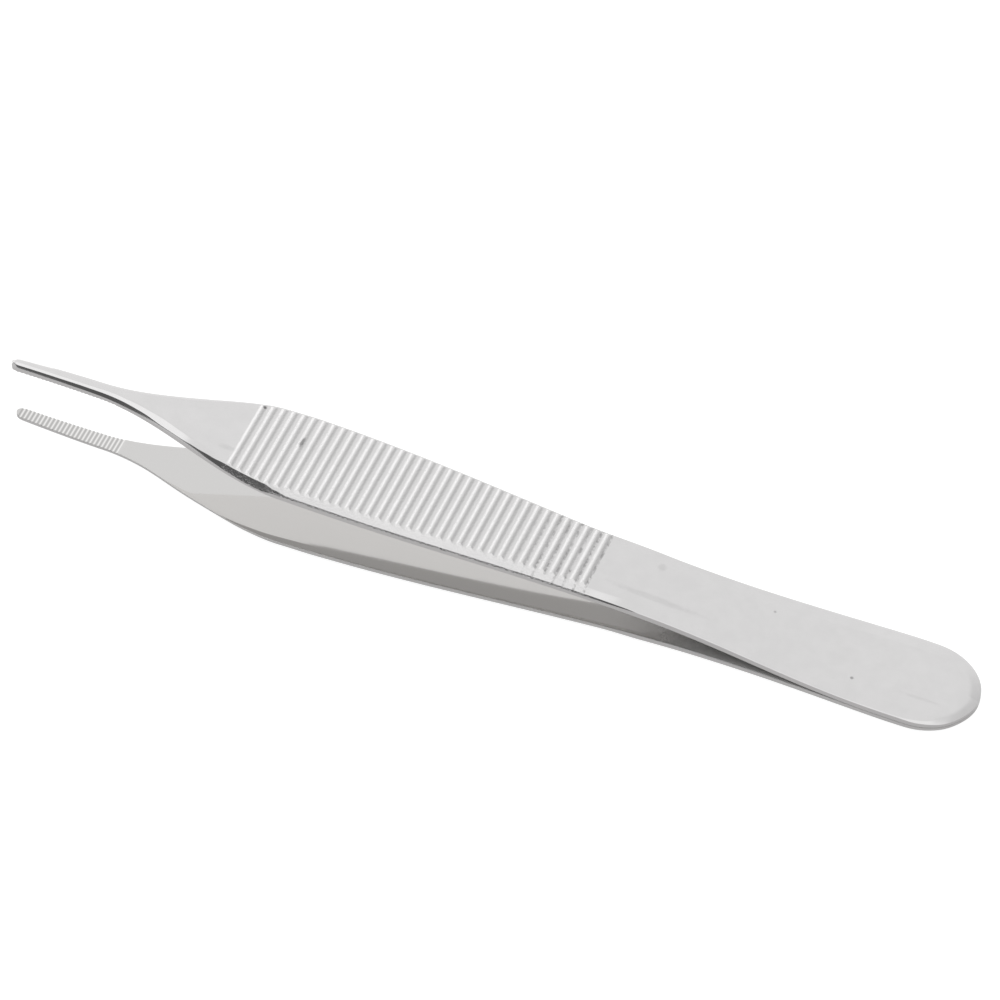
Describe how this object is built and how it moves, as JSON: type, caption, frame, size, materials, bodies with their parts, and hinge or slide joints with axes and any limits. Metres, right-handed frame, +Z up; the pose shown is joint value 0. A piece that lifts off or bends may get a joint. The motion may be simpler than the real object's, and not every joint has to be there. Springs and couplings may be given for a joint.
{
  "type": "thumb forceps",
  "caption": "Fine-tipped dressing thumb forceps: spring steel arms welded at the tail, with ribbed thumb grips, slim curved-in shoulders and serrated jaws.",
  "frame": {"origin": "on the table, below the middle of the forceps as it lies on the outer face of its lower arm", "axes": "+X from the jaw tips to the welded tail, +Z up, the arms open up and down"},
  "size_m": [0.1202, 0.0128, 0.0125],
  "materials": {
    "polished_steel": "satin polished stainless steel"
  },
  "bodies": {
    "root": {"upper_arm": "polished_steel", "lower_arm": "polished_steel"}
  },
  "joints": []
}
